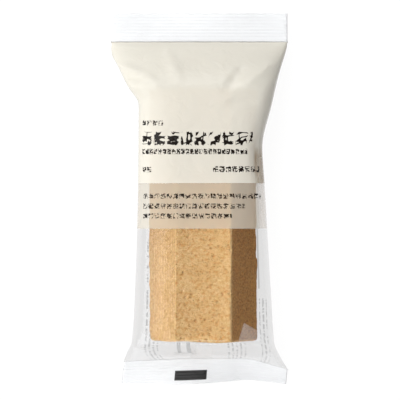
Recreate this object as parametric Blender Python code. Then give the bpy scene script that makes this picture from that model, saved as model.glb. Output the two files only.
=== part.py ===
"""Builds a baumkuchen bar in its clear sealed bag, lying on its back, as the bag's closed outer form.

The bag is one tube of film, sealed flat across its head and its foot, with a back seam.
Metres, +Z up. The bag's length runs along Y with its head at +Y, and its front faces up.
The origin is on the surface that the bag lies on, below the middle of its outline.
"""

import math

import bmesh
import bpy

# The bag, as it lies filled
BAG_LENGTH = 0.1886
HEAD_WIDTH = 0.0902
SEAL_DEPTH = 0.0145
SEAL_THICKNESS = 0.0008
CRIMPS_PER_SEAL = 9
CRIMP_HEIGHT = 0.0003

# The bar of cake inside, a sector of a ring that lies on its wider side
CAKE_LENGTH = 0.130
CAKE_BASE_WIDTH = 0.055
CAKE_HEIGHT = 0.030
CAKE_MIDDLE = (0.0018, -0.0082)
FILM_GAP = 0.0012

# Heights of the film above the surface, at its side folds and where the end seals begin
SIDE_FOLD_HEIGHT = 0.0122
HEAD_SEAL_HEIGHT = 0.0120
FOOT_SEAL_HEIGHT = 0.0132

# Back seam, a flat fin pressed against the back film
SEAM_MIDDLE = 0.0010
SEAM_WIDTH = 0.0110
SEAM_CREASE_WIDTH = 0.0012
SEAM_CREASE_DEPTH = 0.0004

# Where the seals begin along Y, at mid width
HEAD_SEAL_LINE = BAG_LENGTH / 2 - SEAL_DEPTH
FOOT_SEAL_LINE = -0.0808

# Side outlines seen from above, as (distance along the bag, distance across it)
LEFT_SIDE = (
    (FOOT_SEAL_LINE, -0.0387),
    (-0.0760, -0.0365),
    (-0.0725, -0.0345),
    (-0.0515, -0.0330),
    (0.0079, -0.0312),
    (0.0480, -0.0309),
    (0.0567, -0.0362),
    (0.0687, -0.0421),
    (0.0735, -0.0446),
    (HEAD_SEAL_LINE, -HEAD_WIDTH / 2),
)
RIGHT_SIDE = (
    (FOOT_SEAL_LINE, HEAD_WIDTH / 2),
    (-0.0760, 0.0405),
    (-0.0725, 0.0380),
    (-0.0443, 0.0361),
    (0.0077, 0.0330),
    (0.0261, 0.0319),
    (0.0480, 0.0367),
    (0.0633, 0.0403),
    (0.0740, 0.0436),
    (HEAD_SEAL_LINE, HEAD_WIDTH / 2),
)
FOOT_EDGE_LEFT = -0.0402
FOOT_EDGE_RIGHT = 0.0446

# The foot seal, drawn in at mid width and curled down, as (distance across, value)
FOOT_LINE_SAG = ((-0.0387, 0.0016), (0.0, 0.0), (0.0200, 0.0), (HEAD_WIDTH / 2, 0.0056))
FOOT_CURL_DEGREES = ((-0.0387, 38.0), (-0.0080, 23.0), (0.0145, 34.0), (0.0446, 57.0))
FOOT_SAG_REACH = 0.012

# How square the front film's section is, over the bar and at the seals: 2 is an oval
BODY_SQUARENESS = 4.6
SEAL_SQUARENESS = 2.2

# The head seal, nearly level with a slight wave
HEAD_CURL_DEGREES = 4.0
HEAD_WAVE_HEIGHT = 0.0007
HEAD_WAVES = 1.5

# Large folds in the front film: start, end, height (below zero for a crease) and width
FRONT_FOLDS = (
    ((-0.0450, 0.0715), (-0.0230, 0.0620), 0.0017, 0.0068),
    ((-0.0400, 0.0590), (-0.0220, 0.0560), -0.0014, 0.0064),
    ((0.0130, 0.0540), (0.0235, 0.0730), -0.0016, 0.0066),
    ((0.0230, 0.0530), (0.0370, 0.0730), 0.0013, 0.0068),
    ((-0.0080, 0.0560), (-0.0180, 0.0760), 0.0012, 0.0070),
    ((0.0290, 0.0350), (0.0240, 0.0020), -0.0013, 0.0080),
    ((-0.0300, -0.0660), (-0.0240, -0.0785), -0.0012, 0.0060),
    ((0.0280, -0.0640), (0.0400, -0.0795), 0.0014, 0.0068),
    ((0.0170, -0.0580), (0.0300, -0.0700), -0.0010, 0.0064),
)

# Spans that the film is divided into, across and along
FRONT_COLUMNS = 30
BACK_SIDE_COLUMNS = 7
BACK_FLAT_COLUMNS = 5
SEAM_CREASE_COLUMNS = 2
SEAM_COLUMNS = 2
FOOT_ROWS = 8
BODY_ROWS = 15
HEAD_ROWS = 12

# How far the flat of the back film reaches past the base of the bar
BACK_FLAT_MARGIN = 0.0012

CAKE_HEAD = CAKE_MIDDLE[1] + CAKE_LENGTH / 2
CAKE_FOOT = CAKE_MIDDLE[1] - CAKE_LENGTH / 2
FILM_COLOUR = (0.83, 0.79, 0.70, 1.0)


def smooth(share):
    """Eases a share from 0 to 1, and holds it outside them."""
    share = min(max(share, 0.0), 1.0)
    return share * share * (3 - 2 * share)


def between(low, high, share):
    return low + (high - low) * share


def follow(knots, place):
    """The value at a place on the smooth curve through (place, value) knots, without overshoot."""
    if place <= knots[0][0]:
        return knots[0][1]
    if place >= knots[-1][0]:
        return knots[-1][1]
    slopes = [(b[1] - a[1]) / (b[0] - a[0]) for a, b in zip(knots, knots[1:])]
    bends = [slopes[0]]
    for before, after in zip(slopes, slopes[1:]):
        same_way = before * after > 0
        bends.append(2 * before * after / (before + after) if same_way else 0.0)
    bends.append(slopes[-1])
    span = max(i for i in range(len(slopes)) if knots[i][0] <= place)
    (start, low), (end, high) = knots[span], knots[span + 1]
    width = end - start
    t = (place - start) / width
    return (
        (1 + 2 * t) * (1 - t) ** 2 * low
        + t * (1 - t) ** 2 * width * bends[span]
        + t * t * (3 - 2 * t) * high
        + t * t * (t - 1) * width * bends[span + 1]
    )


def lower_of(first, second, sharpness=4):
    """The smaller of two shares, rounded where they cross, and 0 where either is."""
    if first <= 0 or second <= 0:
        return 0.0
    return (first**-sharpness + second**-sharpness) ** (-1 / sharpness)


def share_outside(place, low_edge, low_end, high_end, high_edge):
    """0 from low_edge to high_edge, rising to 1 at low_end or high_end."""
    if place < low_edge:
        return min((low_edge - place) / (low_edge - low_end), 1.0)
    if place > high_edge:
        return min((place - high_edge) / (high_end - high_edge), 1.0)
    return 0.0


def fold_relief(x, y):
    """Height that the front film's large folds add at a point."""
    height = 0.0
    for (x0, y0), (x1, y1), rise, width in FRONT_FOLDS:
        along_x, along_y = x1 - x0, y1 - y0
        length = math.hypot(along_x, along_y)
        t = ((x - x0) * along_x + (y - y0) * along_y) / length**2
        aside = abs((x - x0) * along_y - (y - y0) * along_x) / length
        if 0 < t < 1 and aside < width:
            height += rise * math.sin(math.pi * t) * (1 - smooth(aside / width))
    return height


def rim_height(x, row):
    """Height of the bag's rim: its side folds, running into the seals at each end."""
    to_head = smooth((row - CAKE_HEAD) / (HEAD_SEAL_LINE - CAKE_HEAD))
    to_foot = smooth((CAKE_FOOT - row + 0.006) / (CAKE_FOOT + 0.006 - FOOT_SEAL_LINE))
    height = between(SIDE_FOLD_HEIGHT, head_wave(x, 0.0), to_head)
    return between(height, FOOT_SEAL_HEIGHT, to_foot)


def head_wave(x, share):
    """Height of the head seal's middle surface, a share of its depth out from its inner line."""
    wave = HEAD_WAVE_HEIGHT * math.sin(HEAD_WAVES * 2 * math.pi * x / HEAD_WIDTH + 0.6)
    return HEAD_SEAL_HEIGHT + wave * share


def front_height(x, row, left, right):
    """Height of the front film: puffed out square over the bar, and down to an oval at the seals."""
    rim = rim_height(x, row)
    across = min(abs(2 * x - left - right) / (right - left), 1.0)
    along = share_outside(row, CAKE_FOOT, FOOT_SEAL_LINE, HEAD_SEAL_LINE, CAKE_HEAD)
    squareness = between(BODY_SQUARENESS, SEAL_SQUARENESS, smooth(along))
    side_share = (1 - across**squareness) ** (1 / squareness)
    end_share = (1 - along**1.2) ** 0.9
    puff = side_share * end_share
    crest = CAKE_HEIGHT + FILM_GAP
    return rim + (crest - rim) * puff + fold_relief(x, row) * smooth(3 * puff)


def back_height(x, row, left, right):
    """Height of the back film: flat under the bar, with a crease on each side of the seam."""
    rim = rim_height(x, row)
    base_left = CAKE_MIDDLE[0] - CAKE_BASE_WIDTH / 2 - BACK_FLAT_MARGIN
    base_right = CAKE_MIDDLE[0] + CAKE_BASE_WIDTH / 2 + BACK_FLAT_MARGIN
    across = share_outside(x, base_left, left, right, base_right)
    along = share_outside(row, CAKE_FOOT, FOOT_SEAL_LINE, HEAD_SEAL_LINE, CAKE_HEAD)
    side_share = math.sqrt(1 - across**2)
    end_share = 1 - along**1.3
    flat = lower_of(side_share, end_share) / lower_of(1, 1)
    aside = abs(abs(x - SEAM_MIDDLE) - (SEAM_WIDTH + SEAM_CREASE_WIDTH) / 2)
    crease = SEAM_CREASE_DEPTH * max(1 - aside / (SEAM_CREASE_WIDTH / 2), 0.0)
    return rim * (1 - flat) + crease * flat


def spaced(start, end, count):
    """Places from start up to but not including end."""
    return [between(start, end, i / count) for i in range(count)]


def eased(start, end, count):
    """Places from start up to but not including end, somewhat closer together near both."""
    level = [i / count for i in range(count)]
    return [between(start, end, (t + (1 - math.cos(math.pi * t)) / 2) / 2) for t in level]


def body_rows():
    """Places along the bag from the foot seal's line to the head seal's."""
    return (
        eased(FOOT_SEAL_LINE, CAKE_FOOT + 0.003, FOOT_ROWS)
        + spaced(CAKE_FOOT + 0.003, CAKE_HEAD - 0.003, BODY_ROWS)
        + eased(CAKE_HEAD - 0.003, HEAD_SEAL_LINE, HEAD_ROWS)
        + [HEAD_SEAL_LINE]
    )


def front_columns(left, right):
    """Places across the front film, closest together at its steep sides."""
    turns = [math.pi * i / FRONT_COLUMNS for i in range(FRONT_COLUMNS + 1)]
    return [between(left, right, (1 - math.cos(turn)) / 2) for turn in turns]


def back_columns(left, right):
    """Places across the back film, with columns on the flat's edges and on the seam's creases."""
    flat_left = CAKE_MIDDLE[0] - CAKE_BASE_WIDTH / 2 - BACK_FLAT_MARGIN
    flat_right = CAKE_MIDDLE[0] + CAKE_BASE_WIDTH / 2 + BACK_FLAT_MARGIN
    seam_left = SEAM_MIDDLE - SEAM_WIDTH / 2
    seam_right = SEAM_MIDDLE + SEAM_WIDTH / 2
    return (
        spaced(left, flat_left, BACK_SIDE_COLUMNS)
        + spaced(flat_left, seam_left - SEAM_CREASE_WIDTH, BACK_FLAT_COLUMNS)
        + spaced(seam_left - SEAM_CREASE_WIDTH, seam_left, SEAM_CREASE_COLUMNS)
        + spaced(seam_left, seam_right, SEAM_COLUMNS)
        + spaced(seam_right, seam_right + SEAM_CREASE_WIDTH, SEAM_CREASE_COLUMNS)
        + spaced(seam_right + SEAM_CREASE_WIDTH, flat_right, BACK_FLAT_COLUMNS)
        + spaced(flat_right, right, BACK_SIDE_COLUMNS)
        + [right]
    )


def foot_line(x, row):
    """Place along the bag of a point, where the foot seal's line is drawn in at mid width."""
    reach = 1 - smooth((row - FOOT_SEAL_LINE) / FOOT_SAG_REACH)
    return row - follow(FOOT_LINE_SAG, x) * reach


def crimp(step):
    """Height of the crimp at a step out from a seal's line: one ridge and one groove by turns."""
    return 0.0 if step == 0 else CRIMP_HEIGHT * (-1) ** step


def foot_seal_point(x, step):
    """A point on the foot seal's middle surface, curled down from its inner line."""
    out = SEAL_DEPTH * step / (2 * CRIMPS_PER_SEAL)
    curl = math.radians(follow(FOOT_CURL_DEGREES, x))
    y = foot_line(x, FOOT_SEAL_LINE) - out * math.cos(curl)
    z = FOOT_SEAL_HEIGHT - out * math.sin(curl) + crimp(step)
    return x, y, z


def head_seal_point(x, step):
    """A point on the head seal's middle surface, which runs nearly level."""
    share = step / (2 * CRIMPS_PER_SEAL)
    drop = SEAL_DEPTH * share * math.tan(math.radians(HEAD_CURL_DEGREES))
    return x, HEAD_SEAL_LINE + SEAL_DEPTH * share, head_wave(x, share) - drop + crimp(step)


def film_rows(columns, height, side):
    """All points of one film, row by row from the foot's edge to the head's."""
    half = side * SEAL_THICKNESS / 2
    steps = 2 * CRIMPS_PER_SEAL
    rows = []
    for step in range(steps, 0, -1):
        share = step / steps
        left = between(LEFT_SIDE[0][1], FOOT_EDGE_LEFT, share)
        right = between(RIGHT_SIDE[0][1], FOOT_EDGE_RIGHT, share)
        points = [foot_seal_point(x, step) for x in columns(left, right)]
        rows.append([(x, y, z + half) for x, y, z in points])
    for row in body_rows():
        left, right = follow(LEFT_SIDE, row), follow(RIGHT_SIDE, row)
        # The seal's thickness fades out where the back film lies flat on the surface.
        rows.append(
            [
                (x, foot_line(x, row), max(height(x, row, left, right) + half, 0.0))
                for x in columns(left, right)
            ]
        )
    for step in range(1, steps + 1):
        points = [head_seal_point(x, step) for x in columns(LEFT_SIDE[-1][1], RIGHT_SIDE[-1][1])]
        rows.append([(x, y, z + half) for x, y, z in points])
    return rows


def add_film(mesh, rows):
    """Adds one film as a grid laid through the rows of points, and returns its open edges."""
    grid = bmesh.ops.create_grid(
        mesh, x_segments=len(rows[0]) - 1, y_segments=len(rows) - 1, size=1
    )["verts"]
    for vertex in grid:
        column = round((vertex.co.x + 1) / 2 * (len(rows[0]) - 1))
        row = round((vertex.co.y + 1) / 2 * (len(rows) - 1))
        vertex.co = rows[row][column]
    edges = {edge for vertex in grid for edge in vertex.link_edges}
    return [edge for edge in edges if edge.is_boundary]


def film_material():
    """Glossy film, tinted as its print is."""
    material = bpy.data.materials.new("printed_film")
    material.use_nodes = True
    shader = material.node_tree.nodes["Principled BSDF"]
    shader.inputs["Base Color"].default_value = FILM_COLOUR
    shader.inputs["Roughness"].default_value = 0.25
    shader.inputs["Metallic"].default_value = 0.0
    return material


def build_bag(collection):
    """Joins the front and back films round their rim into the closed form of the sealed bag."""
    mesh = bmesh.new()
    front_edges = add_film(mesh, film_rows(front_columns, front_height, 1))
    back_edges = add_film(mesh, film_rows(back_columns, back_height, -1))
    bmesh.ops.bridge_loops(mesh, edges=front_edges + back_edges)
    bmesh.ops.recalc_face_normals(mesh, faces=mesh.faces)
    data = bpy.data.meshes.new("sealed_bag")
    mesh.to_mesh(data)
    mesh.free()
    data.materials.append(film_material())
    data.shade_smooth()
    data.set_sharp_from_angle(angle=math.radians(35))
    bag = bpy.data.objects.new("sealed_bag", data)
    collection.objects.link(bag)
    return bag


def main():
    for old in list(bpy.data.objects):
        bpy.data.objects.remove(old)
    collection = bpy.data.collections.new("baumkuchen_in_bag")
    bpy.context.scene.collection.children.link(collection)
    build_bag(collection)


main()
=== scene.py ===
"""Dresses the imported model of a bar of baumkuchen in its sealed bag. Laid out as an add-on.

Metres, +Z up. The bag lies on its back with its head towards +Y, and the camera looks down on it.
"""

import math

import bmesh
import bpy
import numpy as np
from bpy.props import FloatProperty, FloatVectorProperty, IntProperty, PointerProperty
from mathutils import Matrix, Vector, noise
from mathutils.bvhtree import BVHTree


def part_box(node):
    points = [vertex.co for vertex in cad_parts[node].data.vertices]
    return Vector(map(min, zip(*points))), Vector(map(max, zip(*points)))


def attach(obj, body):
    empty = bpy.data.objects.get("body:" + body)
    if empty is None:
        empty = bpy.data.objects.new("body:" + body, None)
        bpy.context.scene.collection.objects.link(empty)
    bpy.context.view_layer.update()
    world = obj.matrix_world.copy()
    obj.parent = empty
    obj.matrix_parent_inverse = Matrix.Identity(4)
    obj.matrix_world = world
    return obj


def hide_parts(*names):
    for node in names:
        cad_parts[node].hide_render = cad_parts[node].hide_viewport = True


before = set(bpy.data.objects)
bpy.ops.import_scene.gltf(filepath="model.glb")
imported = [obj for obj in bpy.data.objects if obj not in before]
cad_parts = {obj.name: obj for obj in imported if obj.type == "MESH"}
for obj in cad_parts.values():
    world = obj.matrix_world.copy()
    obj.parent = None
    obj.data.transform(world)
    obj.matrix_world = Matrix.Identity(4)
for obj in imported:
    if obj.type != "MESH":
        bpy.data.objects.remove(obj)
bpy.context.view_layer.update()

bl_info = {
    "name": "Baumkuchen in its bag",
    "version": (1, 0, 0),
    "blender": (4, 5, 0),
    "location": "3D View > Sidebar > Baumkuchen",
    "description": "Makes a bar of baumkuchen, the film bag that it is sealed in, and a studio for them",
    "category": "Object",
}

BAG_NODE = "sealed_bag"
BAG_LOW, BAG_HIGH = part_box(BAG_NODE)
TUBE_WIDTH = BAG_HIGH[0] - BAG_LOW[0]

# Where the seals start along the bag, their depth, and the depth in which their crimps rise
HEAD_SEAL_LINE = 0.0798
FOOT_SEAL_LINE = -0.0808
SEAL_DEPTH = 0.0145
CRIMP_RISE = 0.004

# The bag's sides from above, as (place along it, place across it), and the ends of the foot's edge
LEFT_SIDE = (
    (FOOT_SEAL_LINE, -0.0387), (-0.076, -0.0365), (-0.0725, -0.0345), (-0.0515, -0.033),
    (0.0079, -0.0312), (0.048, -0.0309), (0.0567, -0.0362), (0.0687, -0.0421), (0.0735, -0.0446),
    (HEAD_SEAL_LINE, -0.0451),
)
RIGHT_SIDE = (
    (FOOT_SEAL_LINE, 0.0451), (-0.076, 0.0405), (-0.0725, 0.038), (-0.0443, 0.0361), (0.0077, 0.033),
    (0.0261, 0.0319), (0.048, 0.0367), (0.0633, 0.0403), (0.074, 0.0436), (HEAD_SEAL_LINE, 0.0451),
)
FOOT_EDGE = (-0.0402, 0.0446)

# The foot seal, drawn in at mid width and curled down, as (distance across, value)
FOOT_LINE_SAG = ((-0.0387, 0.0016), (0.0, 0.0), (0.02, 0.0), (0.0451, 0.0056))
FOOT_CURL_DEGREES = ((-0.0387, 38.0), (-0.008, 23.0), (0.0145, 34.0), (0.0446, 57.0))
FOOT_SAG_REACH = 0.012

# The head seal, waved a little across and curled down
HEAD_CURL_DEGREES = 4.0
HEAD_WAVES = 1.5
HEAD_WAVE_HEIGHT = 0.0007
HEAD_WAVE_START = 0.6

# Heights of the rim and the film, and the places along the bag where they start to change
RIM_HEIGHT = 0.0122
HEAD_SEAL_HEIGHT = 0.0120
FOOT_SEAL_HEIGHT = 0.0132
RIM_RISE = -0.0672
HEAD_SHOULDER = 0.0568
FOOT_SHOULDER = -0.0732
CREST_HEIGHT = BAG_HIGH[2] - 0.0008
REST_HEIGHT = 0.0009

# The bag's section: how square it is at the seals, its middle, and where its back lies flat
SEAL_SQUARENESS = 2.2
MIDDLE_LINE = 0.0018
BACK_FLAT = (-0.0269, 0.0305)

# Powers of the curves in which the front film falls and the back film rises to the seals
FRONT_FALL = (1.2, 0.9)
BACK_RISE = 1.3

# Creases in the front film: start, end, height (below zero for a groove) and half width
FRONT_CREASES = (
    ((-0.044, 0.069), (-0.0285, 0.0638), 0.0021, 0.003),
    ((-0.0395, 0.06), (-0.0285, 0.0612), -0.002, 0.003),
    ((-0.0285, 0.0638), (-0.019, 0.056), 0.0008, 0.0034),
    ((0.012, 0.053), (0.024, 0.069), -0.0013, 0.0036),
    ((0.0205, 0.056), (0.039, 0.07), 0.0011, 0.004),
    ((0.013, 0.048), (0.03, 0.05), -0.0008, 0.004),
    ((-0.008, 0.058), (-0.018, 0.077), 0.0009, 0.005),
    ((0.028, 0.033), (0.0295, 0.009), -0.0011, 0.0036),
    ((-0.032, -0.069), (-0.024, -0.077), -0.0018, 0.003),
    ((0.0205, -0.062), (0.0275, -0.069), 0.0008, 0.0028),
    ((0.0275, -0.069), (0.0395, -0.08), 0.0014, 0.0034),
    ((0.033, -0.068), (0.0375, -0.079), -0.0018, 0.0026),
)
CREASE_SHARPNESS = 1.15

# Places on the flat film, across it from its left rim and along it from the foot seal's line
CREAM_START = 0.1006
PALE_START = 0.0777
PALE_RIGHT = 0.0735
PALE_SOFTNESS = 0.0004
# The right shoulder, where the cream covers less and is tinted with painted shade
THIN_SHADED_CREAM = (0.0735, 0.081, 0.096, 0.1165)
THIN_SHADED_SOFTNESS = (0.0016, 0.004)
SEAL_BLOCK = (0.0289, 0.0463, -0.0122, -0.0066)
EDGE_SOFTNESS = 0.00015

# The small print on the back, as left, right, low and high edges
LABELS = (
    (-0.0224, -0.015, -0.001, 0.072),
    (-0.0668, -0.0566, -0.001, 0.019),
    (-0.079, -0.0745, 0.0, 0.042),
    (-0.0042, -0.0021, 0.027, 0.048),
    (-0.0882, -0.084, 0.023, 0.04),
)
LABEL_PITCH = 0.0021
# Dark patches on the back film, as left, right, low and high edges; the last is a thin dark strip along the
# bar's right lower edge
DARK_BACK_PATCHES = (
    (-0.0337, -0.0318, 0.0085, 0.0195),
    (-0.0387, -0.0366, 0.0085, 0.0195),
    (-0.0752, -0.0742, 0.047, 0.08),
)

# Facets of creased film near the foot, white with painted highlights and reflections, as corners in order
# round each
PAINTED_SHEEN_FACETS = (
    ((0.003, 0.0008), (0.016, 0.0008), (0.0175, 0.015), (0.012, 0.0185)),
    ((0.0413, 0.0008), (0.0489, 0.0008), (0.0489, 0.019), (0.0413, 0.019)),
    ((0.016, 0.0005), (0.076, 0.0005), (0.076, 0.006), (0.016, 0.006)),
    ((0.077, 0.0008), (0.088, 0.0008), (0.08, 0.015), (0.076, 0.012)),
    ((0.0612, 0.0211), (0.0722, 0.0211), (0.073, 0.0249), (0.0641, 0.0305)),
    ((0.014, 0.0185), (0.023, 0.02), (0.0165, 0.0262)),
    ((0.028, 0.021), (0.056, 0.021), (0.056, 0.0216), (0.028, 0.0216)),
)

# Rows of printed marks: left, right, low and high edges, pitch of a mark and width of a stroke
MARK_ROWS = (
    (0.014, 0.0256, 0.1295, 0.1325, 0.003, 0.00066),
    (0.014, 0.0715, 0.1193, 0.1271, 0.0069, 0.0015),
    (0.0145, 0.069, 0.1151, 0.1182, 0.0023, 0.00072),
    (0.0148, 0.0204, 0.106, 0.1091, 0.0028, 0.00064),
    (0.0511, 0.076, 0.106, 0.1094, 0.0032, 0.0008),
    (0.0152, 0.0755, 0.0926, 0.0957, 0.0031, 0.00058),
    (0.0152, 0.0664, 0.0876, 0.0907, 0.0031, 0.00058),
    (0.0152, 0.0598, 0.0826, 0.0857, 0.0031, 0.00058),
)

# Share that the marks' ink hides, how dark the seal's block is, how far the cream on the right
# shoulder goes to its painted shade colour, and how rough film is
INK_COVER = 0.97
BLOCK_INK = 0.985
SHOULDER_SHADE_SHARE = 0.8
FILM_ROUGHNESS = 0.14

# How the film behaves as cloth, and how near it comes to the bar and the ground
CLOTH = {
    "pin_stiffness": 1.0,
    "quality": 5,
    "mass": 0.02,
    "air_damping": 3.0,
    "tension_stiffness": 60.0,
    "compression_stiffness": 60.0,
    "shear_stiffness": 30.0,
    "bending_stiffness": 0.05,
    "tension_damping": 10.0,
    "compression_damping": 10.0,
    "shear_damping": 10.0,
    "bending_damping": 0.5,
}
FILM_GAP = 0.0005
GROUND_GAP = 0.0004
COARSE_BAR_SPANS = (14, 53, 12)

# Where along the bag the film is held firmly, how far that eases off, and how firmly it is held
HELD_ENDS = (-0.07, 0.048)
HELD_EASE = (0.012, 0.022)
HELD_LOOSE, HELD_FIRM = 0.02, 0.5

# Power of the curve in which the flat back film narrows towards mid length
SLACK_POWER = 0.35

# The back seam, just under the film and just above the floor
SEAM_ENDS = (BAG_LOW[1] + 0.003, BAG_HIGH[1] - 0.0004)
SEAM_SPANS = (6, 160)
SEAM_GAP = 0.0002
SEAM_LOWEST = 0.0001
SEAM_THICKNESS = 0.00008
SEAM_COVER = 0.05

# Relief of the cake and its bumps to a metre: crumbs, pits, ring lines, faces and ends
GRAIN_RELIEF, GRAIN_BUMPS = 0.0001, 900
PIT_DEPTH, PIT_CELLS = 0.00055, (420, 620, 420)
RING_GROOVE, RING_WIDTH, RING_WANDER = 0.00012, 0.22, 0.16
BROAD_RELIEF, BROAD_BUMPS = 0.00045, 45
MIDDLING_RELIEF, MIDDLING_BUMPS = 0.0002, 130
END_RELIEF, END_BUMPS = 0.0006, 90
RELIEF_MIDDLE = 0.0003

# Wear of the cake's edges, as a share of their radius
MEAN_WEAR, WEAR_SPREAD, WEAR_BUMPS, LEAST_WEAR = 1.25, 1.1, 260, 0.4

# Where the skin ends below the inner face, the crust starts above the outer one, and the painted
# shade on the right cut face starts across the bar
SKIN_END = (0.0004, 0.0011)
CRUST_START = (0.0014, 0.0004)
PAINTED_SHADE_SIDE = (0.0155, 0.0175)

# Each light's place, length along the bag and width, and the camera
KEY_LIGHT = ((-0.62, 0.05, 0.95), 2.4, 1.1)
HEAD_LIGHT = ((-0.15, 1.2, 0.75), 0.8, 0.8)
FOOT_LIGHT = ((-0.15, -1.2, 0.75), 0.8, 0.8)
IMAGE_PIXELS = 400
PIXEL_SIZE = 0.00051
CAMERA_PLACE = (0.00025, -0.00045, 2.5)
SENSOR_WIDTH = 36.0


def metres(name, description, default):
    """A setting in metres."""
    return FloatProperty(name=name, description=description, default=default, unit="LENGTH")


def share_of(name, description, default):
    """A setting that is a share of something."""
    return FloatProperty(name=name, description=description, default=default, subtype="FACTOR")


def count_of(name, description, default):
    """A setting in whole numbers."""
    return IntProperty(name=name, description=description, default=default, subtype="UNSIGNED")


def colour_of(name, description, default):
    """A setting that is a colour."""
    return FloatVectorProperty(name=name, description=description, default=default, subtype="COLOR", size=4)


class BarSettings(bpy.types.PropertyGroup):
    """Sizes and colours of the bar of cake, a sector of a baked ring lying on its outer side."""

    length: metres("Length", "Length of the bar", 0.1285)
    inner_width: metres("Inner width", "Width of the inner face, which is up", 0.0286)
    outer_width: metres("Outer width", "Width of the outer face, which is down", 0.0562)
    height: metres("Height", "Distance between the inner and outer faces", 0.0291)
    middle: FloatVectorProperty(
        name="Middle", description="Place of the middle of the base", size=3, subtype="TRANSLATION",
        default=(0.0018, -0.0082, 0.0013),
    )
    hollow: metres("Hollow", "Depth of the hollow in the inner face", 0.0022)
    crown: metres("Crown", "Rise of the outer face's edges", 0.0016)
    edge_radius: metres("Edge radius", "Radius of the worn edges", 0.0011)
    ring: metres("Baked ring", "Thickness of one baked ring", 0.0018)
    grain: metres("Grain", "Distance between the points of the surface", 0.00056)
    pale: colour_of("Crumb", "Colour of the crumb", (0.95, 0.67, 0.34, 1))
    tan: colour_of("Browned crumb", "Colour of the browner crumb", (0.8, 0.49, 0.2, 1))
    # Also the colour of the painted shade on the right cut face
    toasted: colour_of("Toasted", "Colour of the toasted crumbs", (0.7, 0.29, 0.065, 1))
    # Also the colour of the painted shade in the pits and on the right cut face
    brown: colour_of("Crust", "Colour of the crust and the ring lines", (0.43, 0.15, 0.033, 1))


class BagSettings(bpy.types.PropertyGroup):
    """Sizes and colours of the film bag."""

    squareness: FloatProperty(
        name="Squareness", description="How square the bag's section is over the bar. 2 is an oval",
        default=4.6, subtype="UNSIGNED",
    )
    seal_thickness: metres("Seal thickness", "Thickness of the two films at a seal", 0.0004)
    crimps: count_of("Crimps", "Crimp ridges in each seal", 9)
    crimp_height: metres("Crimp height", "Height of a crimp ridge", 0.0003)
    columns: count_of("Columns", "Spans across each film", 56)
    rows: count_of("Rows", "Spans along each film between its seals", 116)
    back_width: metres("Back width", "Unstretched width of the back film at mid length", 0.078)
    length_slack: share_of("Length slack", "Film's length as a share of the way over the bar", 1.023)
    seam_middle: metres("Seam middle", "Place across the bag of the seam's middle", 0.001)
    seam_width: metres("Seam width", "Width of the seam", 0.011)
    pressure: FloatProperty(
        name="Pressure", description="Pressure as the bag settles", default=1.5, subtype="UNSIGNED"
    )
    steps: count_of("Steps", "Frames for which the film settles", 20)
    floor_gap: metres("Floor gap", "Least height of the film above the floor", 0.0003)
    gloss_limit: share_of("Gloss", "Most that clear film mirrors", 0.34)
    cream_alpha: share_of("Cream cover", "Cover of the cream print", 0.83)
    thinning: share_of("Thinning", "How much less the cream covers on the right shoulder", 0.42)
    pale_alpha: share_of("Band cover", "Cover of the pale band", 0.5)
    pale_past_bar: share_of("Band past the bar", "Share of the band's cover past the bar", 0.15)
    seal_alpha: share_of("Seal cover", "Cover of each film at a seal", 0.85)
    # The thin print behind the bar is painted shade: a dark grey veil over the whole back film that darkens
    # the ground seen through the bag
    back_shade_alpha: share_of("Back cover", "Cover of the thin print behind the bar", 0.25)
    label_alpha: share_of("Label cover", "Cover of the small print on the back", 0.46)
    # Painted highlights and reflections on creased film near the foot
    painted_sheen_alpha: share_of("Painted sheen", "Cover of the haze on creased film", 0.17)
    clear: colour_of("Clear film", "Colour of what clear film mirrors", (0.62, 0.62, 0.63, 1))
    # Painted shade: colour of that veil over the back film
    back: colour_of("Back shade", "Colour of the thin print behind the bar", (0.2, 0.205, 0.21, 1))
    pale: colour_of("Pale band", "Colour of the band beside the cream", (0.7, 0.66, 0.56, 1))
    cream: colour_of("Cream", "Colour of the printed half", (0.82, 0.79, 0.7, 1))
    # Painted shade: the brown that the cream on the right shoulder is tinted towards
    shoulder_shade: colour_of("Shoulder shade", "Cream over the right shoulder", (0.5, 0.4, 0.25, 1))
    white: colour_of("White", "Colour of the seals and of haze on creased film", (0.94, 0.95, 0.965, 1))
    ink: colour_of("Ink", "Colour of the printed marks", (0.01, 0.009, 0.009, 1))


class StudioSettings(bpy.types.PropertyGroup):
    """Light and floor."""

    key_power: FloatProperty(name="Key", description="Power of the key light", default=21.0, unit="POWER")
    end_power: FloatProperty(name="Ends", description="Power of each end light", default=7.0, unit="POWER")
    fill: share_of("Fill", "Strength of the light from all round", 0.02)
    glow: share_of("Glow", "Light that the table gives from below", 0.94)
    floor: colour_of("Floor", "Colour of the floor without its own light", (0.08, 0.08, 0.08, 1))


def smooth(share):
    """Eases a share from 0 to 1, and holds it outside them."""
    share = np.clip(share, 0.0, 1.0)
    return share * share * (3 - 2 * share)


def between(low, high, share):
    """The value that share of the way from low to high."""
    return low + (high - low) * share


def follow(knots, place):
    """The value at a place on the smooth curve through (place, value) knots."""
    if place <= knots[0][0]:
        return knots[0][1]
    if place >= knots[-1][0]:
        return knots[-1][1]
    slopes = [(b[1] - a[1]) / (b[0] - a[0]) for a, b in zip(knots, knots[1:])]
    bends = [slopes[0]]
    for before, after in zip(slopes, slopes[1:]):
        bends.append(2 * before * after / (before + after) if before * after > 0 else 0.0)
    bends.append(slopes[-1])
    span = max(i for i in range(len(slopes)) if knots[i][0] <= place)
    (start, low), (end, high) = knots[span], knots[span + 1]
    width = end - start
    t = (place - start) / width
    return (
        (1 + 2 * t) * (1 - t) ** 2 * low
        + t * (1 - t) ** 2 * width * bends[span]
        + t * t * (3 - 2 * t) * high
        + t * t * (t - 1) * width * bends[span + 1]
    )


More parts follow.
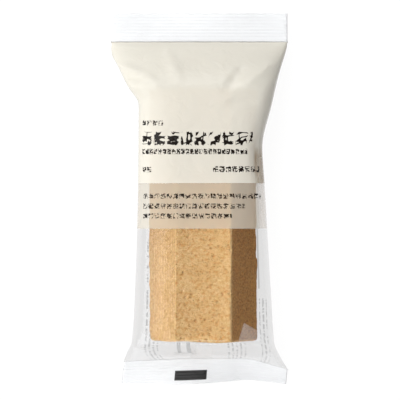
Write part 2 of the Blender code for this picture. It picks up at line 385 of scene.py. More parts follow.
def new_object(name, mesh, material=None):
    """Ends a bmesh as an object of that name at the origin."""
    data = bpy.data.meshes.new(name)
    mesh.to_mesh(data)
    mesh.free()
    data.shade_smooth()
    if material:
        data.materials.append(material)
    piece = bpy.data.objects.new(name, data)
    bpy.context.scene.collection.objects.link(piece)
    return piece


# Shader nodes


def add_node(tree, kind, inputs=(), **settings):
    """Adds a node, with its settings and with each (socket, value or link) of its inputs."""
    node = tree.nodes.new("ShaderNode" + kind)
    for name, value in settings.items():
        setattr(node, name, value)
    for socket, value in dict(inputs).items():
        if isinstance(value, bpy.types.NodeSocket):
            tree.links.new(value, node.inputs[socket])
        else:
            node.inputs[socket].default_value = value
    return node


def maths(tree, operation, first, second=0.0):
    """The result of an operation on one or two values."""
    return add_node(tree, "Math", {0: first, 1: second}, operation=operation).outputs[0]


def product(tree, first, second):
    """Two values multiplied."""
    return maths(tree, "MULTIPLY", first, second)


def largest(tree, values):
    """The largest of several values that aren't below 0."""
    result = 0.0
    for value in values:
        result = maths(tree, "MAXIMUM", result, value)
    return result


def ramp(tree, value, low, high, start=0.0, end=1.0):
    """The value eased from start at low to end at high."""
    inputs = {"Value": value, "From Min": low, "From Max": high, "To Min": start, "To Max": end}
    return add_node(tree, "MapRange", inputs, interpolation_type="SMOOTHSTEP").outputs["Result"]


def band(tree, value, low, high, soft=EDGE_SOFTNESS):
    """1 from low to high, and 0 outside, with edges that soft."""
    rise = ramp(tree, value, low - soft, low + soft)
    fall = ramp(tree, value, high - soft, high + soft, 1.0, 0.0)
    return product(tree, rise, fall)


def rectangle(tree, across, along, edges, soft=(EDGE_SOFTNESS, EDGE_SOFTNESS)):
    """1 inside left, right, low and high edges on the flat film, and 0 outside."""
    left, right, low, high = edges
    wide = band(tree, across, left, right, soft[0])
    tall = band(tree, along, low, high, soft[1])
    return product(tree, wide, tall)


def tint(tree, share, first, second):
    """Colours first and second mixed by share."""
    inputs = {"Factor": share, 6: first, 7: second}
    return add_node(tree, "Mix", inputs, data_type="RGBA").outputs[2]


def new_material(name):
    """A material with its Principled shader, and its tree."""
    material = bpy.data.materials.new(name)
    material.use_nodes = True
    tree = material.node_tree
    return material, tree, tree.nodes["Principled BSDF"]


def noise_at(tree, place, scale, detail=2.0, distortion=0.0):
    """Soft noise, with about that many bumps to a unit of place."""
    inputs = {"Vector": place, "Scale": scale, "Detail": detail, "Distortion": distortion}
    return add_node(tree, "TexNoise", inputs).outputs["Fac"]


def stretched(tree, place, scale):
    """The place with each of its axes scaled."""
    return add_node(tree, "Mapping", {"Vector": place, "Scale": scale}).outputs["Vector"]


def set_sockets(shader, values):
    """Sets uniform values on the shader's own sockets."""
    for socket, value in values.items():
        shader.inputs[socket].default_value = value


def add_bump(tree, shader, height, strength, distance):
    """Gives the shader a small relief."""
    bump = add_node(tree, "Bump", {"Height": height, "Strength": strength, "Distance": distance})
    tree.links.new(bump.outputs["Normal"], shader.inputs["Normal"])


# The bar of cake


def cut_block(spans):
    """A cube from -1 to 1, its faces cut into that many spans along each axis."""
    mesh = bmesh.new()
    bmesh.ops.create_cube(mesh, size=2)
    for axis, count in enumerate(spans):
        edges = [edge for edge in mesh.edges if abs(edge.verts[0].co[axis] - edge.verts[1].co[axis]) > 1]
        bmesh.ops.subdivide_edges(mesh, edges=edges, cuts=count - 1, use_grid_fill=True)
    return mesh


def worn_edges(point, halves, radius):
    """A point on a box of those half sizes, drawn in where its edges are rounded."""
    core = Vector([max(min(p, h - radius), radius - h) for p, h in zip(point, halves)])
    out = point - core
    return core + out.normalized() * min(out.length, radius) if out.length > 0 else point


def crumb_relief(place, inner):
    """(height, pit) at a place on the surface. inner is 1 on the inner face."""
    grain = noise.fractal(place * GRAIN_BUMPS, 1.0, 2.0, 3)
    cell = Vector([p * count for p, count in zip(place, PIT_CELLS)])
    distances, centres = noise.voronoi(cell)
    open_share = noise.cell(centres[0] * 3.7)
    deep = smooth((0.42 - distances[0]) / 0.3) * smooth((open_share - between(0.62, 0.25, inner)) / 0.2)
    relief = GRAIN_RELIEF * grain - PIT_DEPTH * deep * between(0.6, 1.0, inner)
    return relief, deep


def ring_line(settings, depth, place):
    """How near a point is to the brown line between two rings: 1 on the line."""
    wander = RING_WANDER * noise.noise(Vector((place.x * 60, place.y * 45, depth * 300)))
    turn = (depth / settings.ring + wander) % 1.0
    return float(1 - smooth(min(turn, 1 - turn) / RING_WIDTH))


def form_sector(mesh, settings):
    """Moves the cut block's points onto the bar's even form, and notes their depth and wear."""
    depths = mesh.verts.layers.float["depth"]
    edges = mesh.verts.layers.float["worn"]
    mean_width = (settings.inner_width + settings.outer_width) / 2
    halves = Vector((mean_width / 2, settings.length / 2, settings.height / 2))
    middle = Vector(settings.middle)
    for vertex in mesh.verts:
        flat = Vector([p * h for p, h in zip(vertex.co, halves)])
        wear = max(MEAN_WEAR + WEAR_SPREAD * noise.noise(flat * WEAR_BUMPS), LEAST_WEAR)
        worn = worn_edges(flat, halves, settings.edge_radius * wear)
        across = worn.x / halves.x
        up = (worn.z / halves.z + 1) / 2
        half_width = between(settings.outer_width, settings.inner_width, up) / 2
        vertex[depths] = (1 - up) * settings.height
        vertex[edges] = min((flat - worn).length / (0.3 * settings.edge_radius), 1.0)
        sag = between(settings.crown, -settings.hollow, up)
        curve = across**2 if sag > 0 else 1 - across**2
        vertex.co = middle + Vector((across * half_width, worn.y, up * settings.height + sag * curve))


def roughen(mesh, settings):
    """Adds crumbs, pits, ring lines and unevenness to the bar, and notes its pits."""
    depths = mesh.verts.layers.float["depth"]
    pits = mesh.verts.layers.float["pit"]
    for vertex in mesh.verts:
        place = vertex.co.copy()
        inner = float(smooth((vertex.normal.z - 0.6) / 0.3))
        cut = 1 - abs(vertex.normal.z)
        relief, deep = crumb_relief(place, inner)
        broad = BROAD_RELIEF * noise.noise(place * BROAD_BUMPS)
        broad += MIDDLING_RELIEF * noise.noise(place * MIDDLING_BUMPS)
        end = END_RELIEF * abs(vertex.normal.y) * noise.noise(place * END_BUMPS)
        groove = RING_GROOVE * (ring_line(settings, vertex[depths], place) * cut)
        vertex[pits] = deep
        vertex.co += vertex.normal * (relief + broad + end - groove - RELIEF_MIDDLE)


def shape_bar(mesh, settings):
    """Makes the cut block the bar of cake."""
    for name in ("depth", "pit", "worn"):
        mesh.verts.layers.float.new(name)
    form_sector(mesh, settings)
    mesh.normal_update()
    roughen(mesh, settings)
    bmesh.ops.recalc_face_normals(mesh, faces=mesh.faces)


def pits_at(tree, place, scale, share, size):
    """1 in a pit: that many pits to a metre each way, with that share of them open."""
    cells = add_node(tree, "TexVoronoi", {"Vector": stretched(tree, place, scale), "Scale": 1.0})
    chosen = ramp(tree, cells.outputs["Color"], 1 - share - 0.04, 1 - share + 0.04)
    return product(tree, ramp(tree, cells.outputs["Distance"], 0.5 * size, size, 1.0, 0.0), chosen)


def cake_patterns(tree):
    """What the cake's colours and relief are made of, by name."""
    place = add_node(tree, "TexCoord").outputs["Object"]
    patterns = {"place": place}
    for name in ("depth", "worn", "pit"):
        patterns[name] = add_node(tree, "Attribute", attribute_name=name).outputs["Fac"]
    patterns["patches"] = noise_at(tree, place, 90.0, 3.0)
    patterns["crumbs"] = noise_at(tree, stretched(tree, place, (0.62, 1.35, 1.0)), 620.0, 4.0)
    patterns["toasted"] = noise_at(tree, place, 640.0, 3.0)
    patterns["grains"] = noise_at(tree, place, 1700.0, 2.0)
    patterns["streaks"] = noise_at(tree, stretched(tree, place, (1.0, 0.12, 1.0)), 750.0, 2.0)
    return patterns


def ring_lines(tree, patterns, settings):
    """Share of brown in the lines between the baked rings."""
    wander = noise_at(tree, patterns["place"], 55.0, 1.0)
    turn = maths(tree, "DIVIDE", patterns["depth"], settings.ring)
    turn = maths(tree, "ADD", turn, product(tree, wander, 0.45))
    turn = maths(tree, "ADD", turn, product(tree, patterns["crumbs"], 0.12))
    return ramp(tree, maths(tree, "PINGPONG", turn, 0.5), 0.03, 0.2, 0.62, 0.0)


def pit_share(tree, patterns):
    """Share of pits: fine ones, fewer in some patches, and those in the surface itself."""
    wide_pits = pits_at(tree, patterns["place"], (430, 1300, 800), 0.3, 0.34)
    fine_pits = pits_at(tree, patterns["place"], (900, 1900, 1300), 0.45, 0.38)
    pits = maths(tree, "MAXIMUM", wide_pits, fine_pits)
    pits = product(tree, pits, ramp(tree, patterns["patches"], 0.3, 0.62, 0.35, 1.0))
    return maths(tree, "MAXIMUM", pits, patterns["pit"])


def cut_colour(tree, patterns, settings):
    """Colour of the cut faces: streaked sponge with ring lines, and painted shade, darker and browner, on
    the right.
    """
    crumbs = patterns["crumbs"]
    cut = tint(tree, ramp(tree, patterns["streaks"], 0.4, 0.62, 0.0, 0.45), settings.pale, settings.tan)
    cut = tint(tree, ring_lines(tree, patterns, settings), cut, settings.brown)
    cut = tint(tree, ramp(tree, crumbs, 0.44, 0.6, 0.04, 0.4), cut, settings.brown)
    # Painted shade on the right cut face: toasted to crust colour, mottled by the crumbs
    painted_shade = tint(tree, ramp(tree, crumbs, 0.34, 0.64, 0.1, 0.95), settings.toasted, settings.brown)
    across = add_node(tree, "SeparateXYZ", {0: patterns["place"]}).outputs[0]
    return tint(tree, ramp(tree, across, *PAINTED_SHADE_SIDE, 0.0, 0.78), cut, painted_shade)


def skin_colour(tree, patterns, settings):
    """Colour of the inner face: pale skin with browner patches and toasted crumbs."""
    skin = tint(tree, ramp(tree, patterns["patches"], 0.32, 0.68, 0.0, 0.42), settings.pale, settings.tan)
    skin = tint(tree, ramp(tree, patterns["crumbs"], 0.46, 0.58, 0.0, 0.5), skin, settings.tan)
    return tint(tree, ramp(tree, patterns["toasted"], 0.48, 0.66, 0.0, 0.62), skin, settings.toasted)


def cake_material(settings):
    """Sponge with brown lines between its rings, crust on its inner and outer faces, and pits tinted brown
    as painted shade.
    """
    material, tree, shader = new_material("baked_sponge")
    patterns = cake_patterns(tree)
    inner = ramp(tree, patterns["depth"], *SKIN_END, 1.0, 0.0)
    outer = ramp(tree, patterns["depth"], *(settings.height - rise for rise in CRUST_START))
    pits = pit_share(tree, patterns)
    colour = tint(tree, inner, cut_colour(tree, patterns, settings), skin_colour(tree, patterns, settings))
    colour = tint(tree, ramp(tree, patterns["grains"], 0.45, 0.6, 0.0, 0.55), colour, settings.tan)
    colour = tint(tree, product(tree, outer, 0.75), colour, settings.brown)
    # Painted shade: the pits are tinted towards crust brown, as the shade in the holes
    colour = tint(tree, product(tree, pits, 0.5), colour, settings.brown)
    colour = tint(tree, product(tree, patterns["worn"], 0.5), colour, settings.pale)
    tree.links.new(colour, shader.inputs["Base Color"])
    set_sockets(shader, {"Roughness": 0.88, "Specular IOR Level": 0.2})
    set_sockets(shader, {"Subsurface Weight": 0.1, "Subsurface Scale": 0.0012})
    height = maths(tree, "ADD", patterns["crumbs"], product(tree, patterns["grains"], 0.45))
    height = maths(tree, "SUBTRACT", height, product(tree, pits, 0.2))
    add_bump(tree, shader, height, 1.0, 0.001)
    return material


# The film bag


def rim_height(row):
    """Height of the bag's rim: its side folds, running into the seals at each end."""
    to_head = smooth((row - HEAD_SHOULDER) / (HEAD_SEAL_LINE - HEAD_SHOULDER))
    to_foot = smooth((RIM_RISE - row) / (RIM_RISE - FOOT_SEAL_LINE))
    return between(between(RIM_HEIGHT, HEAD_SEAL_HEIGHT, to_head), FOOT_SEAL_HEIGHT, to_foot)


def end_share(row):
    """0 over the bar, rising to 1 at the seal's line at either end."""
    if row > HEAD_SHOULDER:
        past = (row - HEAD_SHOULDER) / (HEAD_SEAL_LINE - HEAD_SHOULDER)
    else:
        past = (FOOT_SHOULDER - row) / (FOOT_SHOULDER - FOOT_SEAL_LINE)
    return min(max(past, 0.0), 1.0)


def crease_relief(x, y):
    """Height that the front film's creases add at points across one row."""
    height = np.zeros_like(x)
    for (x0, y0), (x1, y1), rise, width in FRONT_CREASES:
        along_x, along_y = x1 - x0, y1 - y0
        length = math.hypot(along_x, along_y)
        share = ((x - x0) * along_x + (y - y0) * along_y) / length**2
        aside = np.abs((x - x0) * along_y - (y - y0) * along_x) / length
        crest = np.clip(1 - aside / width, 0, 1) ** CREASE_SHARPNESS
        height += rise * np.sin(math.pi * np.clip(share, 0, 1)) * crest
    return height


def front_height(settings, x, row, left, right):
    """Heights of the front film across a row: square over the bar, and an oval at the seals."""
    rim = rim_height(row)
    across = np.clip(np.abs(2 * x - left - right) / (right - left), 0, 1)
    along = end_share(row)
    squareness = between(settings.squareness, SEAL_SQUARENESS, float(smooth(along)))
    fall = (1 - along ** FRONT_FALL[0]) ** FRONT_FALL[1]
    puff = (1 - across**squareness) ** (1 / squareness) * fall
    return rim + (CREST_HEIGHT - rim) * puff + crease_relief(x, row) * smooth(3 * puff)


def back_height(settings, x, row, left, right):
    """Heights of the back film across a row: flat under the bar and rounded up to the rim."""
    flat_left, flat_right = BACK_FLAT
    past_left = np.clip((flat_left - x) / (flat_left - left), 0, 1)
    past_right = np.clip((x - flat_right) / (right - flat_right), 0, 1)
    side = np.sqrt(1 - np.maximum(past_left, past_right) ** 2)
    end = 1 - end_share(row) ** BACK_RISE
    lower = (np.maximum(side, 1e-6) ** -4 + max(end, 1e-6) ** -4) ** -0.25
    return np.maximum(rim_height(row) * (1 - lower * 2**0.25), REST_HEIGHT)


def foot_line(x, row):
    """Places along the bag of points, where the foot seal's line is drawn in at mid width."""
    reach = 1 - smooth((row - FOOT_SEAL_LINE) / FOOT_SAG_REACH)
    return row - follow(FOOT_LINE_SAG, x) * reach


def crimp(settings, depth):
    """Height of the crimps at a depth into a seal: up at one row and down at the next."""
    if depth <= 0:
        return 0.0
    height = settings.crimp_height * float(smooth(depth / CRIMP_RISE))
    return height * math.cos(2 * math.pi * settings.crimps * depth / SEAL_DEPTH)


def body_row(settings, height, row, count):
    """Points of one film across a row between the seals, evenly spaced over its surface."""
    left, right = follow(LEFT_SIDE, row), follow(RIGHT_SIDE, row)
    turn = np.linspace(0, math.pi, 8 * count)
    x = (left + right) / 2 - (right - left) / 2 * np.cos(turn)
    z = height(settings, x, row, left, right)
    reach = np.concatenate([[0], np.cumsum(np.hypot(np.diff(x), np.diff(z)))])
    even = np.linspace(0, reach[-1], count + 1)
    places = zip(np.interp(even, reach, x), np.interp(even, reach, z))
    return [(px, foot_line(px, row), pz) for px, pz in places]


def seal_edges(share, at_head):
    """Left and right edges of a seal, at that share of its depth."""
    if at_head:
        return LEFT_SIDE[-1][1], RIGHT_SIDE[-1][1]
    return [between(knots[0][1], edge, share) for knots, edge in zip((LEFT_SIDE, RIGHT_SIDE), FOOT_EDGE)]


def seal_point(x, depth, at_head):
    """Point between the two films of a seal, that depth out from the seal's line."""
    if at_head:
        turn = HEAD_WAVES * 2 * math.pi * x / TUBE_WIDTH + HEAD_WAVE_START
        wave = HEAD_WAVE_HEIGHT * (depth / SEAL_DEPTH) * math.sin(turn)
        z = HEAD_SEAL_HEIGHT + wave - depth * math.tan(math.radians(HEAD_CURL_DEGREES))
        return x, HEAD_SEAL_LINE + depth, z
    curl = math.radians(follow(FOOT_CURL_DEGREES, x))
    y = foot_line(x, FOOT_SEAL_LINE) - depth * math.cos(curl)
    return x, y, FOOT_SEAL_HEIGHT - depth * math.sin(curl)


def seal_row(settings, side, depth, at_head, count):
    """Points of one film across a seal, that depth out from the seal's line."""
    left, right = seal_edges(depth / SEAL_DEPTH, at_head)
    points = []
    for i in range(count + 1):
        rim = 0 if i in (0, count) else 1
        lift = side * settings.seal_thickness / 2 * rim + crimp(settings, depth)
        x, y, z = seal_point(between(left, right, i / count), depth, at_head)
        points.append((x, y, z + lift))
    return points


def body_places(settings):
    """Places of the rows between the seals, evenly spaced over the front film's middle."""
    rows = np.linspace(FOOT_SEAL_LINE, HEAD_SEAL_LINE, 8 * settings.rows)
    middle = np.array([MIDDLE_LINE])
    heights = []
    for row in rows:
        sides = follow(LEFT_SIDE, row), follow(RIGHT_SIDE, row)
        heights.append(front_height(settings, middle, row, *sides)[0])
    reach = np.concatenate([[0], np.cumsum(np.hypot(np.diff(rows), np.diff(heights)))])
    even = np.linspace(0, reach[-1], settings.rows + 1)
    return np.interp(even, reach, rows), even


def film_rows(settings, side, height):
    """Points of one film, row by row from its foot to its head, and each row's place on it."""
    count = settings.columns
    depths = np.linspace(0, SEAL_DEPTH, 2 * settings.crimps + 1)[1:]
    places, even = body_places(settings)
    rows = [seal_row(settings, side, depth, False, count) for depth in depths[::-1]]
    rows += [body_row(settings, height, place, count) for place in places]
    rows += [seal_row(settings, side, depth, True, count) for depth in depths]
    lengths = np.concatenate([-depths[::-1], even, even[-1] + depths])
    return rows, lengths


def add_film(mesh, settings, side, height):
    """Adds one film as a grid through its rows, with its flat places as UVs and in layers."""
    rows, lengths = film_rows(settings, side, height)
    columns = len(rows[0]) - 1
    uv = mesh.loops.layers.uv["film"]
    turn = mesh.verts.layers.float["turn"]
    along = mesh.verts.layers.float["along"]
    grid = bmesh.ops.create_grid(mesh, x_segments=columns, y_segments=len(rows) - 1, size=1)["verts"]
    for vertex in grid:
        column = round((vertex.co.x + 1) / 2 * columns)
        row = round((vertex.co.y + 1) / 2 * (len(rows) - 1))
        for loop in vertex.link_loops:
            loop[uv].uv = (side * TUBE_WIDTH * column / columns, lengths[row])
        vertex[turn] = column / columns if side > 0 else 2 - column / columns
        vertex[along] = lengths[row]
        vertex.co = rows[row][column]


def held_share(place, flat_place, flat_length):
    """How firmly the film is held at a point: its seals fast, its middle firm, its ends loose."""
    if not 0 < flat_place < flat_length:
        return 1.0
    foot, head = HELD_ENDS
    foot_ease, head_ease = HELD_EASE
    middle = smooth((head - place.y) / head_ease) * smooth((place.y - foot) / foot_ease)
    return float(between(HELD_LOOSE, HELD_FIRM, middle))


def tube_point(settings, turn, along, flat_length):
    """Point of the unstretched tube, whose back is narrower at mid length."""
    slack = math.sin(math.pi * min(max(along / flat_length, 0), 1)) ** SLACK_POWER
    back = between(TUBE_WIDTH, settings.back_width, slack)
    front_angle = 2 * math.pi * TUBE_WIDTH / (TUBE_WIDTH + back)
    if turn <= 1:
        angle = turn * front_angle
    else:
        angle = front_angle + (turn - 1) * (2 * math.pi - front_angle)
    angle -= front_angle / 2
    radius = (TUBE_WIDTH + back) / (2 * math.pi)
    return radius * math.sin(angle), along * settings.length_slack, radius * math.cos(angle)


def lay_flat(bag, settings):
    """Gives the bag a shape key of the flat tube, and a group of how firmly each point is held."""
    turns = bag.data.attributes["turn"].data
    places = bag.data.attributes["along"].data
    flat_length = body_places(settings)[1][-1]
    held = bag.vertex_groups.new(name="held")
    bag.shape_key_add(name="Basis")
    tube = bag.shape_key_add(name="tube")
    for number, vertex in enumerate(bag.data.vertices):
        along = places[number].value
        tube.data[number].co = tube_point(settings, turns[number].value, along, flat_length)
        held.add([number], held_share(vertex.co, along, flat_length), "REPLACE")
    tube.value = 0
    return tube


def add_obstacle(name, mesh, gap):
    """Adds a mesh that the film collides with."""
    obstacle = new_object(name, mesh)
    obstacle.modifiers.new("Collision", "COLLISION")
    obstacle.collision.thickness_outer = gap
    obstacle.collision.cloth_friction = 5
    return obstacle


def add_obstacles(bar_settings):
    """Adds a coarse bar and the ground for the film to settle against."""
    coarse = cut_block(COARSE_BAR_SPANS)
    shape_bar(coarse, bar_settings)
    ground = bmesh.new()
    bmesh.ops.create_grid(ground, x_segments=20, y_segments=20, size=0.15)
    return [add_obstacle("bar_obstacle", coarse, FILM_GAP), add_obstacle("ground", ground, GROUND_GAP)]


def make_cloth(bag, settings):
    """Makes the bag a cloth whose rest form is the flat tube."""
    cloth = bag.modifiers.new("Cloth", "CLOTH")
    film = cloth.settings
    film.rest_shape_key = lay_flat(bag, settings)
    film.vertex_group_mass = "held"
    for name, value in CLOTH.items():
        setattr(film, name, value)
    film.use_pressure = True
    film.uniform_pressure_force = settings.pressure
    film.effector_weights.gravity = 0.0
    cloth.collision_settings.distance_min = FILM_GAP
    cloth.point_cache.frame_end = settings.steps
    return cloth


def relax(bag, settings):
    """Lets the film settle as cloth under a little pressure, and keeps its last form."""
    scene = bpy.context.scene
    obstacles = add_obstacles(scene.baumkuchen_bar)
    cloth = make_cloth(bag, settings)
    for step in range(1, settings.steps + 1):
        scene.frame_set(step)
    settled = bag.evaluated_get(bpy.context.evaluated_depsgraph_get())
    places = [vertex.co.copy() for vertex in settled.data.vertices]
    bag.modifiers.remove(cloth)
    bag.shape_key_clear()
    for vertex, place in zip(bag.data.vertices, places):
        vertex.co = (place.x, place.y, max(place.z, settings.floor_gap))
    for obstacle in obstacles:
        bpy.data.objects.remove(obstacle)
    scene.frame_set(1)


def mark_row(tree, flat, across, along, row):
    """Share of ink of one row of marks: a few broken strokes in each cell."""
    left, right, low, high, pitch, stroke = row
    start = maths(tree, "SUBTRACT", across, left)
    cell = maths(tree, "FRACT", maths(tree, "DIVIDE", start, pitch))
    level = maths(tree, "DIVIDE", maths(tree, "SUBTRACT", along, low), high - low)
    window = product(tree, band(tree, cell, 0.11, 0.89, 0.09), band(tree, level, 0.09, 0.91, 0.07))
    width = product(tree, window, 0.60 * stroke / pitch)
    strokes = []
    for wide, tall in ((1.5, 0.6), (0.6, 1.5)):
        drawn = stretched(tree, flat, (wide / pitch, tall / pitch, 1.0))
        height = maths(tree, "SUBTRACT", noise_at(tree, drawn, 1.7, 0.5), 0.5)
        below = ramp(tree, maths(tree, "SUBTRACT", width, height), 0.0, 0.014)
        strokes.append(product(tree, ramp(tree, height, -0.007, 0.007), below))
    place = rectangle(tree, across, along, (left, right, low, high))
    return product(tree, place, largest(tree, strokes))


def back_label(tree, flat, across, along):
    """Share of ink of the small print on the back, in columns that run along the bag, and of the dark
    patches.
    """
    column = maths(tree, "FRACT", maths(tree, "DIVIDE", across, LABEL_PITCH))
    drawn = stretched(tree, flat, (1 / LABEL_PITCH, 900.0, 1.0))
    dashes = ramp(tree, noise_at(tree, drawn, 1.0, 1.0), 0.44, 0.5)
    dashes = product(tree, dashes, band(tree, column, 0.22, 0.72, 0.06))
    labels = largest(tree, [rectangle(tree, across, along, edges) for edges in LABELS])
    patches = largest(tree, [rectangle(tree, across, along, edges) for edges in DARK_BACK_PATCHES])
    return maths(tree, "MAXIMUM", product(tree, labels, dashes), patches)


def inside_corners(tree, across, along, corners, soft=0.0003):
    """1 inside the corners, which go round anticlockwise."""
    inside = 1.0
    for (x0, y0), (x1, y1) in zip(corners, corners[1:] + corners[:1]):
        length = math.hypot(x1 - x0, y1 - y0)
        normal_x, normal_y = (y0 - y1) / length, (x1 - x0) / length
        offset_x = product(tree, maths(tree, "SUBTRACT", across, x0), normal_x)
        offset_y = product(tree, maths(tree, "SUBTRACT", along, y0), normal_y)
        offset = maths(tree, "ADD", offset_x, offset_y)
        inside = product(tree, inside, ramp(tree, offset, -soft, soft))
    return inside


def painted_sheen_share(tree, across, along):
    """Share of painted highlights and reflections over the creased parts of the clear film."""
    return largest(tree, [inside_corners(tree, across, along, corners) for corners in PAINTED_SHEEN_FACETS])


def print_masks(tree, flat, across, along):
    """Share of dark ink over the front: the block on the foot seal, and the rows of marks."""
    block = product(tree, rectangle(tree, across, along, SEAL_BLOCK), BLOCK_INK)
    return largest(tree, [block] + [mark_row(tree, flat, across, along, row) for row in MARK_ROWS])


def pale_share(tree, across, along, settings):
    """Share of the pale band, which is fainter past the bar."""
    fade = PALE_RIGHT - PALE_SOFTNESS, PALE_RIGHT + PALE_SOFTNESS
    past_bar = ramp(tree, across, *fade, 1.0, settings.pale_past_bar)
    return product(tree, band(tree, along, PALE_START, CREAM_START), past_bar)


def film_areas(tree, flat, settings):
    """Share of each kind of film and print over the flat tube, by name."""
    split = add_node(tree, "SeparateXYZ", {0: flat})
    across, along = split.outputs[0], split.outputs[1]
    flat_length = body_places(settings)[1][-1]
    unsealed = band(tree, along, 0.0, flat_length)
    behind = ramp(tree, across, -0.0001, 0.0001, 1.0, 0.0)
    return {
        "cream": band(tree, along, CREAM_START, flat_length),
        # Right shoulder: thinner cream, and painted shade on it
        "thin": rectangle(tree, across, along, THIN_SHADED_CREAM, THIN_SHADED_SOFTNESS),
        "pale": pale_share(tree, across, along, settings),
        "seals": maths(tree, "SUBTRACT", 1.0, unsealed),
        # The whole back film between the seals, which carries the painted shade veil
        "back": product(tree, behind, unsealed),
        "painted_sheen": painted_sheen_share(tree, across, along),
        "marks": print_masks(tree, flat, across, along),
        "label": back_label(tree, flat, across, along),
    }


def film_colour(tree, areas, settings):
    """Colour of the film, with each print laid over what is under it."""
    # Seals are white film; the facets near the foot take the same white as painted highlights and
    # reflections
    whitish = maths(tree, "MAXIMUM", areas["seals"], areas["painted_sheen"])
    # Painted shade on the cream of the right shoulder
    thin = product(tree, areas["thin"], SHOULDER_SHADE_SHARE)
    cream = tint(tree, thin, settings.cream, settings.shoulder_shade)
    colour = tint(tree, whitish, settings.clear, settings.white)
    # The back film's layer is the dark grey painted shade veil
    layers = [("back", settings.back), ("cream", cream), ("pale", settings.pale)]
    layers += [("marks", settings.ink), ("label", settings.ink)]
    for name, over in layers:
        colour = tint(tree, areas[name], colour, over)
    return colour


def film_cover(tree, areas, settings):
    """How much the film hides: what clear film mirrors, or its print where that hides more."""
    gloss = add_node(tree, "Fresnel", {"IOR": 1.5}).outputs[0]
    clear = maths(tree, "MINIMUM", gloss, settings.gloss_limit)
    clear = product(tree, clear, maths(tree, "SUBTRACT", 1.0, areas["back"]))
    thinning = product(tree, areas["thin"], settings.thinning)
    covers = {
        "cream": maths(tree, "SUBTRACT", settings.cream_alpha, thinning),
        "pale": settings.pale_alpha,
        # Painted shade veil over the back film
        "back": settings.back_shade_alpha,
        "seals": settings.seal_alpha,
        "marks": INK_COVER,
        "label": settings.label_alpha,
        "painted_sheen": settings.painted_sheen_alpha,
    }
    prints = [product(tree, areas[name], cover) for name, cover in covers.items()]
    return largest(tree, [clear] + prints)


def film_material(settings):
    """Clear film, printed cream over its head half, with whitish seals and dark marks."""
    material, tree, shader = new_material("printed_film")
    flat = add_node(tree, "UVMap", uv_map="film").outputs["UV"]
    areas = film_areas(tree, flat, settings)
    printed = [areas[name] for name in ("cream", "pale", "seals", "marks", "back", "painted_sheen")]
    tree.links.new(film_colour(tree, areas, settings), shader.inputs["Base Color"])
    tree.links.new(film_cover(tree, areas, settings), shader.inputs["Alpha"])
    tree.links.new(maths(tree, "SUBTRACT", 1.0, largest(tree, printed)), shader.inputs["Metallic"])
    set_sockets(shader, {"Roughness": FILM_ROUGHNESS, "Specular IOR Level": 0.15})
    add_bump(tree, shader, noise_at(tree, flat, 150.0, 2.0, 0.6), 0.6, 0.0007)
    return material


# The seam down the back


def seam_mesh(settings, bag):
    """A strip laid against the underside of the bag from end to end."""
    under = BVHTree.FromObject(bag, bpy.context.evaluated_depsgraph_get())
    mesh = bmesh.new()
    columns, rows = SEAM_SPANS
    grid = bmesh.ops.create_grid(mesh, x_segments=columns, y_segments=rows, size=1)["verts"]
    for vertex in grid:
        x = settings.seam_middle + vertex.co.x * settings.seam_width / 2
        y = between(*SEAM_ENDS, (vertex.co.y + 1) / 2)
        place = under.ray_cast(Vector((x, y, -0.05)), Vector((0, 0, 1)))[0]
        if place is None:
            raise RuntimeError("The seam misses the bag")
        vertex.co = (x, y, max(place.z - SEAM_GAP, SEAM_LOWEST))
    bmesh.ops.reverse_faces(mesh, faces=mesh.faces)
    return mesh


def seam_material(settings):
    """Doubled film with fine crimps across it."""
    material, tree, shader = new_material("seam_film")
    place = add_node(tree, "TexCoord").outputs["Object"]
    set_sockets(shader, {"Base Color": settings.white, "Alpha": SEAM_COVER, "Roughness": FILM_ROUGHNESS})
    wave = add_node(tree, "TexWave", {"Vector": place, "Scale": 160.0}, bands_direction="Y")
    add_bump(tree, shader, wave.outputs["Fac"], 0.5, 0.0002)
    return material


# Operators


class BAUMKUCHEN_OT_add_bar(bpy.types.Operator):
    """Adds the bar of cake"""

    bl_idname = "baumkuchen.add_bar"
    bl_label = "Add the bar"

    def execute(self, context):
        settings = context.scene.baumkuchen_bar
        mean_width = (settings.inner_width + settings.outer_width) / 2
        spans = [round(side / settings.grain) for side in (mean_width, settings.length, settings.height)]
        mesh = cut_block(spans)
        shape_bar(mesh, settings)
        bar = new_object("baumkuchen", mesh, cake_material(settings))
        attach(bar, "root")
        return {"FINISHED"}


class BAUMKUCHEN_OT_add_bag(bpy.types.Operator):
    """Adds the film bag round the bar"""

    bl_idname = "baumkuchen.add_bag"
    bl_label = "Add the bag"

    def execute(self, context):
        settings = context.scene.baumkuchen_bag
        mesh = bmesh.new()
        mesh.loops.layers.uv.new("film")
        mesh.verts.layers.float.new("turn")
        mesh.verts.layers.float.new("along")
        add_film(mesh, settings, 1, front_height)
        add_film(mesh, settings, -1, back_height)
        bmesh.ops.remove_doubles(mesh, verts=mesh.verts, dist=0.00002)
        bmesh.ops.recalc_face_normals(mesh, faces=mesh.faces)
        bag = new_object("film_bag", mesh, film_material(settings))
        relax(bag, settings)
        finish = bag.modifiers.new("Smooth", "SUBSURF")
        finish.levels = finish.render_levels = 1
        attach(bag, "root")
        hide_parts(BAG_NODE)
        return {"FINISHED"}


class BAUMKUCHEN_OT_add_seam(bpy.types.Operator):
    """Adds the seam down the back of the bag"""

    bl_idname = "baumkuchen.add_seam"
    bl_label = "Add the back seam"

    def execute(self, context):
        settings = context.scene.baumkuchen_bag
        mesh = seam_mesh(settings, bpy.data.objects["film_bag"])
        seam = new_object("back_seam", mesh, seam_material(settings))
        thicken = seam.modifiers.new("Thickness", "SOLIDIFY")
        thicken.thickness = SEAM_THICKNESS
        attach(seam, "root")
        return {"FINISHED"}


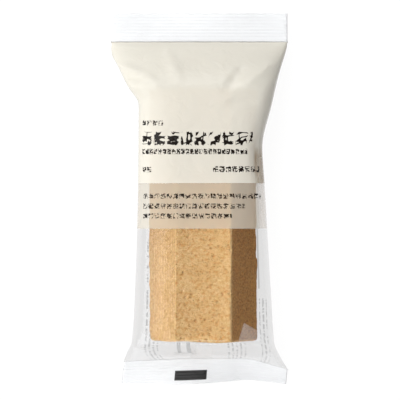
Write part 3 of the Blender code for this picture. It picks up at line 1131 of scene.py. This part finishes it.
class BAUMKUCHEN_OT_add_studio(bpy.types.Operator):
    """Adds the floor, the lights and the camera"""

    bl_idname = "baumkuchen.add_studio"
    bl_label = "Add the studio"

    def execute(self, context):
        settings = context.scene.baumkuchen_studio
        add_floor(settings)
        add_lights(context.scene, settings)
        add_camera(context.scene)
        return {"FINISHED"}


def add_floor(settings):
    """A wide floor that glows, as paper on a lit table does."""
    material, _, shader = new_material("studio_floor")
    set_sockets(shader, {"Base Color": settings.floor, "Roughness": 0.9})
    set_sockets(shader, {"Emission Color": (1, 1, 1, 1), "Emission Strength": settings.glow})
    mesh = bmesh.new()
    bmesh.ops.create_grid(mesh, x_segments=4, y_segments=4, size=3.0)
    floor = new_object("floor", mesh, material)


def add_area_light(name, form, power):
    """Adds a lamp of that place, length along the bag and width, which shines at the bag."""
    place, length, width = form
    light = bpy.data.lights.new(name, "AREA")
    light.shape = "RECTANGLE"
    light.size = length
    light.size_y = width
    light.energy = power
    lamp = bpy.data.objects.new(name, light)
    bpy.context.scene.collection.objects.link(lamp)
    lamp.location = place
    lamp.rotation_euler = (Vector((0, 0, 0)) - Vector(place)).to_track_quat("-Z", "Y").to_euler()


def add_lights(scene, settings):
    """A soft key from the upper left, a lamp beyond each end of the bag, and an even fill."""
    add_area_light("key", KEY_LIGHT, settings.key_power)
    add_area_light("head", HEAD_LIGHT, settings.end_power)
    add_area_light("foot", FOOT_LIGHT, settings.end_power)
    world = bpy.data.worlds.new("studio")
    scene.world = world
    world.use_nodes = True
    background = world.node_tree.nodes["Background"]
    set_sockets(background, {"Color": (1, 1, 1, 1), "Strength": settings.fill})
    scene.view_settings.view_transform = "Standard"


def add_camera(scene):
    """Adds a camera straight above the bag that sees as much as the photograph shows."""
    data = bpy.data.cameras.new("camera")
    data.sensor_width = SENSOR_WIDTH
    data.lens = data.sensor_width * CAMERA_PLACE[2] / (IMAGE_PIXELS * PIXEL_SIZE)
    camera = bpy.data.objects.new("camera", data)
    scene.collection.objects.link(camera)
    camera.location = CAMERA_PLACE
    scene.camera = camera


class BAUMKUCHEN_PT_sidebar(bpy.types.Panel):
    """Lists the settings and the operators"""

    bl_label = "Baumkuchen in its bag"
    bl_space_type = "VIEW_3D"
    bl_region_type = "UI"
    bl_category = "Baumkuchen"

    def draw(self, context):
        for operator in OPERATORS:
            self.layout.operator(operator.bl_idname)
        for name in SETTINGS:
            settings = getattr(context.scene, name)
            for field in type(settings).__annotations__:
                self.layout.prop(settings, field)


SETTINGS = {
    "baumkuchen_bar": BarSettings,
    "baumkuchen_bag": BagSettings,
    "baumkuchen_studio": StudioSettings,
}
OPERATORS = (BAUMKUCHEN_OT_add_bar, BAUMKUCHEN_OT_add_bag, BAUMKUCHEN_OT_add_seam, BAUMKUCHEN_OT_add_studio)


def register():
    """Registers the settings, the operators and the panel."""
    for kind in (*SETTINGS.values(), *OPERATORS, BAUMKUCHEN_PT_sidebar):
        bpy.utils.register_class(kind)
    for name, kind in SETTINGS.items():
        setattr(bpy.types.Scene, name, PointerProperty(type=kind))


def unregister():
    """Takes them back out."""
    for name in SETTINGS:
        delattr(bpy.types.Scene, name)
    for kind in (BAUMKUCHEN_PT_sidebar, *OPERATORS, *SETTINGS.values()):
        bpy.utils.unregister_class(kind)


def main():
    """Adds the pieces and the studio in order."""
    register()
    bpy.ops.baumkuchen.add_bar()
    bpy.ops.baumkuchen.add_bag()
    bpy.ops.baumkuchen.add_seam()
    bpy.ops.baumkuchen.add_studio()


if __name__ == "__main__":
    main()
